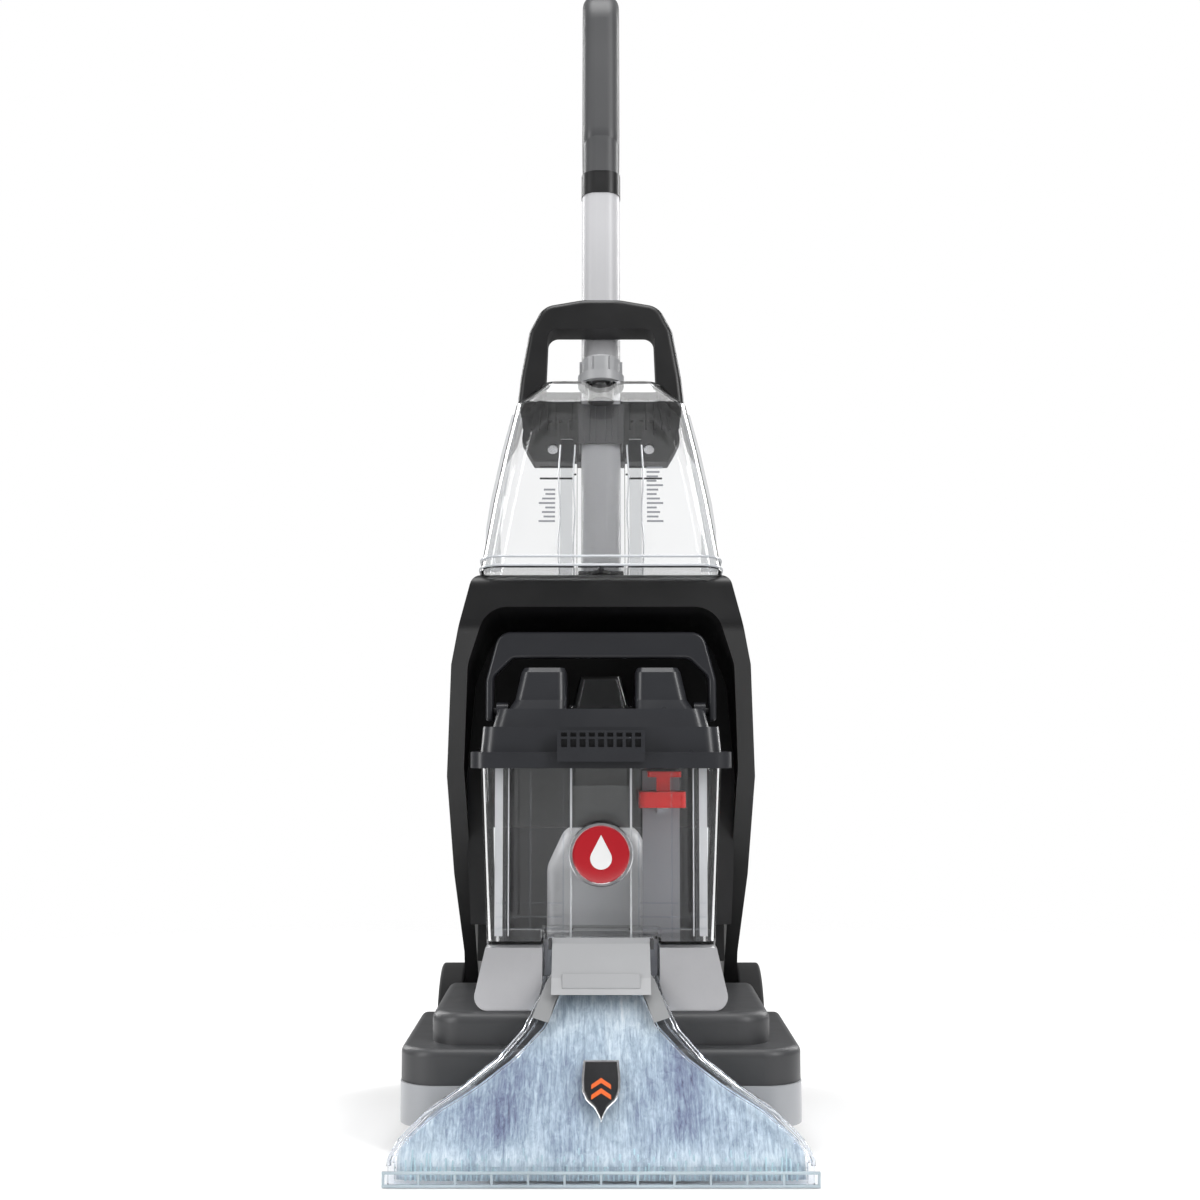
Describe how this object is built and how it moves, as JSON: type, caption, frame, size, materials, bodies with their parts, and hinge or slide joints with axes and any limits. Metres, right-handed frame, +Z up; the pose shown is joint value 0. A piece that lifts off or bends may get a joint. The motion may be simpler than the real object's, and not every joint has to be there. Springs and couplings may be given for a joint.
{
  "type": "carpet cleaner",
  "caption": "Upright carpet cleaner with clear water tanks, a flared suction nozzle, spinning brushes and a reclining handle.",
  "frame": {"origin": "centre of the bounding box's bottom, on the floor under the middle of the machine", "axes": "+Z up, -Y towards the front where the nozzle is, +X to the right seen from the front"},
  "size_m": [0.342, 0.4749, 1.1301],
  "materials": {
    "dark_plastic": "charcoal, satin moulded",
    "black_plastic": "black moulded",
    "lid_plastic": "charcoal lid",
    "light_plastic": "light grey moulded",
    "silver_plastic": "silver satin",
    "clear_plastic": "clear moulded plastic",
    "nozzle_clear": "clear moulded plastic, wet inside",
    "nozzle_back": "pale blue-grey back wall",
    "badge_red": "red enamel with a silver rim",
    "badge_dark": "dark enamel plaque",
    "float_red": "red moulded",
    "guide_grey": "translucent grey",
    "grip_rubber": "soft grip",
    "trigger": "dark moulded",
    "tyre": "black tread",
    "hub": "dark grey wheel disc",
    "steel": "plain",
    "gear": "natural nylon",
    "brush": "blue nylon tufts on a grey disc",
    "motor_metal": "motor can",
    "pump": "pump body",
    "valve": "valve stem"
  },
  "bodies": {
    "base": {"base_chassis": "black_plastic", "rear_deck": "black_plastic", "base_cover": "dark_plastic", "tank_cradle": "silver_plastic", "brush_housing": "black_plastic", "spray_bar": "black_plastic", "brush_motor": "motor_metal", "nozzle_cover": "nozzle_clear", "nozzle_back": "nozzle_back", "nozzle_lip": "nozzle_clear", "nozzle_badge": "badge_dark", "tool_port": "silver_plastic", "rear_axle": "steel", "motor_housing": "light_plastic", "vacuum_motor": "motor_metal", "motor_shroud": "dark_plastic", "solution_pump": "pump", "cord_gland": "black_plastic", "side_skirt_right": "light_plastic", "side_skirt_left": "light_plastic", "pedal_brackets": "black_plastic"},
    "dirty_tank": {"dirty_tank_shell": "clear_plastic", "tank_duct": "clear_plastic", "float_guide": "guide_grey", "dirty_tank_lid": "lid_plastic", "lid_window": "clear_plastic", "lid_latch": "lid_plastic", "tank_badge": "badge_red"},
    "tank_handle": {"dirty_tank_handle": "lid_plastic"},
    "float": {"float": "float_red"},
    "handle_frame": {"body_frame": "dark_plastic", "frame_back_panel": "dark_plastic", "frame_back_cover": "dark_plastic", "cover_screws": "steel", "valve_receiver": "black_plastic", "handle_tube": "light_plastic", "tube_collar": "black_plastic", "hand_grip": "grip_rubber", "cord_hook_lower": "black_plastic"},
    "clean_tank": {"clean_tank_shell": "clear_plastic", "clean_tank_handle": "black_plastic"},
    "tank_valve": {"clean_tank_valve": "valve"},
    "tank_cap": {"clean_tank_cap": "light_plastic"},
    "trigger": {"trigger": "trigger"},
    "cord_hook": {"cord_hook_upper": "black_plastic"},
    "wheel_right": {"wheel_hub_right": "hub", "wheel_tyre_right": "tyre"},
    "wheel_left": {"wheel_hub_left": "hub", "wheel_tyre_left": "tyre"},
    "drive_gear": {"drive_gear": "gear"},
    "fan": {"fan_impeller": "motor_metal"},
    "port_door": {"tool_port_door": "light_plastic"},
    "recline_pedal": {"recline_pedal": "trigger"},
    "power_pedal": {"power_pedal": "trigger"},
    "brush_1": {"spin_brush_1": "brush"},
    "brush_2": {"spin_brush_2": "brush"},
    "brush_3": {"spin_brush_3": "brush"},
    "brush_4": {"spin_brush_4": "brush"},
    "brush_5": {"spin_brush_5": "brush"},
    "brush_6": {"spin_brush_6": "brush"}
  },
  "joints": [
    {"name": "recline", "type": "hinge", "parent": "base", "child": "handle_frame", "pos_m": [0, 0.1095, 0.062], "axis": [-1, 0, 0], "range_deg": [0, 55]},
    {"name": "wheel_right_spin", "type": "hinge", "parent": "base", "child": "wheel_right", "pos_m": [0.145, 0.1095, 0.062], "axis": [1, 0, 0], "continuous": true},
    {"name": "wheel_left_spin", "type": "hinge", "parent": "base", "child": "wheel_left", "pos_m": [-0.145, 0.1095, 0.062], "axis": [1, 0, 0], "continuous": true},
    {"name": "dirty_tank_lift", "type": "slide", "parent": "base", "child": "dirty_tank", "axis": [0, -0.9063, 0.4226], "range_m": [0, 0.25]},
    {"name": "tank_handle_fold", "type": "hinge", "parent": "dirty_tank", "child": "tank_handle", "pos_m": [0, -0.0495, 0.372], "axis": [1, 0, 0], "range_deg": [0, 70]},
    {"name": "float_rise", "type": "slide", "parent": "dirty_tank", "child": "float", "axis": [0, 0, 1], "range_m": [0, 0.004]},
    {"name": "clean_tank_lift", "type": "slide", "parent": "handle_frame", "child": "clean_tank", "axis": [0, -0.4226, 0.9063], "range_m": [0, 0.3]},
    {"name": "cap_turn", "type": "hinge", "parent": "clean_tank", "child": "tank_cap", "pos_m": [0, 0.00392, 0.68987], "axis": [0, 0.1736, 0.9848], "range_deg": [0, 90]},
    {"name": "valve_stem", "type": "slide", "parent": "clean_tank", "child": "tank_valve", "axis": [0, 0.1736, 0.9848], "range_m": [0, 0.003], "stiffness_N_per_m": 300, "springref_m": -0.003},
    {"name": "trigger_pull", "type": "hinge", "parent": "handle_frame", "child": "trigger", "pos_m": [0, 0.2091, 1.003], "axis": [1, 0, 0], "range_deg": [0, 10], "stiffness_Nm_per_rad": 0.5, "springref_deg": -17.19},
    {"name": "cord_hook_turn", "type": "hinge", "parent": "handle_frame", "child": "cord_hook", "pos_m": [0, 0.0875, 0.80105], "axis": [0, 0.9848, -0.1736], "range_deg": [0, 180]},
    {"name": "fan_spin", "type": "hinge", "parent": "base", "child": "fan", "pos_m": [0, 0.0575, 0.18], "axis": [0, 0, 1], "continuous": true},
    {"name": "drive_spin", "type": "hinge", "parent": "base", "child": "drive_gear", "pos_m": [0.023, -0.07512, 0.045], "axis": [0, 0, 1], "continuous": true},
    {"name": "port_door", "type": "hinge", "parent": "base", "child": "port_door", "pos_m": [0, -0.1128, 0.171], "axis": [-1, 0, 0], "range_deg": [0, 95]},
    {"name": "recline_pedal_press", "type": "hinge", "parent": "base", "child": "recline_pedal", "pos_m": [-0.081, 0.1285, 0.112], "axis": [-1, 0, 0], "range_deg": [0, 6], "stiffness_Nm_per_rad": 1.2, "springref_deg": -5.73},
    {"name": "power_pedal_rock", "type": "hinge", "parent": "base", "child": "power_pedal", "pos_m": [0.081, 0.1285, 0.112], "axis": [-1, 0, 0], "range_deg": [-5, 5]},
    {"name": "brush_1_spin", "type": "hinge", "parent": "base", "child": "brush_1", "pos_m": [-0.115, -0.1125, 0.04], "axis": [0, 0, 1], "continuous": true},
    {"name": "brush_2_spin", "type": "hinge", "parent": "base", "child": "brush_2", "pos_m": [-0.069, -0.1125, 0.04], "axis": [0, 0, 1], "continuous": true},
    {"name": "brush_3_spin", "type": "hinge", "parent": "base", "child": "brush_3", "pos_m": [-0.023, -0.1125, 0.04], "axis": [0, 0, 1], "continuous": true},
    {"name": "brush_4_spin", "type": "hinge", "parent": "base", "child": "brush_4", "pos_m": [0.023, -0.1125, 0.04], "axis": [0, 0, 1], "continuous": true},
    {"name": "brush_5_spin", "type": "hinge", "parent": "base", "child": "brush_5", "pos_m": [0.069, -0.1125, 0.04], "axis": [0, 0, 1], "continuous": true},
    {"name": "brush_6_spin", "type": "hinge", "parent": "base", "child": "brush_6", "pos_m": [0.115, -0.1125, 0.04], "axis": [0, 0, 1], "continuous": true}
  ],
  "couplings": [
    {"joint": "drive_spin", "follows": "brush_4_spin", "ratio": -1.6},
    {"joint": "brush_1_spin", "follows": "brush_4_spin", "ratio": -1},
    {"joint": "brush_2_spin", "follows": "brush_4_spin", "ratio": 1},
    {"joint": "brush_3_spin", "follows": "brush_4_spin", "ratio": -1},
    {"joint": "brush_5_spin", "follows": "brush_4_spin", "ratio": -1},
    {"joint": "brush_6_spin", "follows": "brush_4_spin", "ratio": 1}
  ]
}
